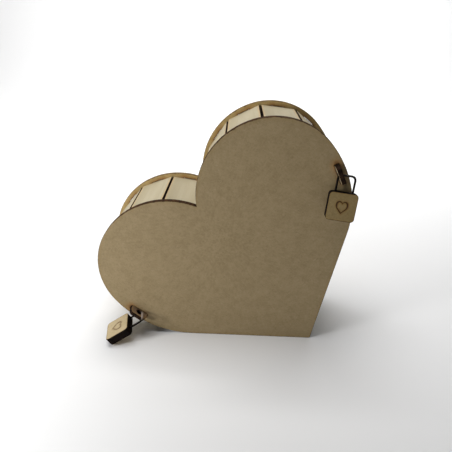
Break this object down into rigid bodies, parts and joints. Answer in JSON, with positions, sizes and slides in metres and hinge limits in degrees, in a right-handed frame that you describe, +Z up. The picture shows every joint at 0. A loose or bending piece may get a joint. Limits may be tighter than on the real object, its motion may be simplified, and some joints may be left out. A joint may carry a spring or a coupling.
{
  "type": "heart-shaped wooden box",
  "caption": "Hollow heart-shaped box of laser-cut board and plywood, standing on one side, with a loose lid held by tabs and small wooden padlocks.",
  "frame": {"origin": "middle of the underside of the whole object's box, as it stands on the straight side of the heart", "axes": "+Z up, the lid faces -Y, +X to the right seen from the lid's side"},
  "size_m": [0.1846, 0.0882, 0.1738],
  "materials": {
    "board": "raw medium-density fibreboard, edges browned by the laser",
    "panel_wood": "raw pale plywood, cut edges burnt dark",
    "padlock_wood": "raw plywood with an engraved heart, sides burnt nearly black",
    "shackle_wire": "dark bent steel wire"
  },
  "bodies": {
    "root": {"base_plate": "board", "lid": "board", "upper_wall_panel_1": "panel_wood", "upper_wall_panel_2": "panel_wood", "upper_wall_panel_3": "panel_wood", "upper_wall_panel_4": "panel_wood", "upper_wall_panel_5": "panel_wood", "upper_wall_panel_6": "panel_wood", "upper_wall_panel_7": "panel_wood", "upper_straight_wall": "panel_wood", "lower_wall_panel_1": "panel_wood", "lower_wall_panel_2": "panel_wood", "lower_wall_panel_3": "panel_wood", "lower_wall_panel_4": "panel_wood", "lower_wall_panel_5": "panel_wood", "lower_wall_panel_6": "panel_wood", "lower_wall_panel_7": "panel_wood", "lower_straight_wall": "panel_wood", "upper_padlock_body": "padlock_wood", "upper_padlock_shackle": "shackle_wire", "lower_padlock_body": "padlock_wood", "lower_padlock_shackle": "shackle_wire"}
  },
  "joints": []
}
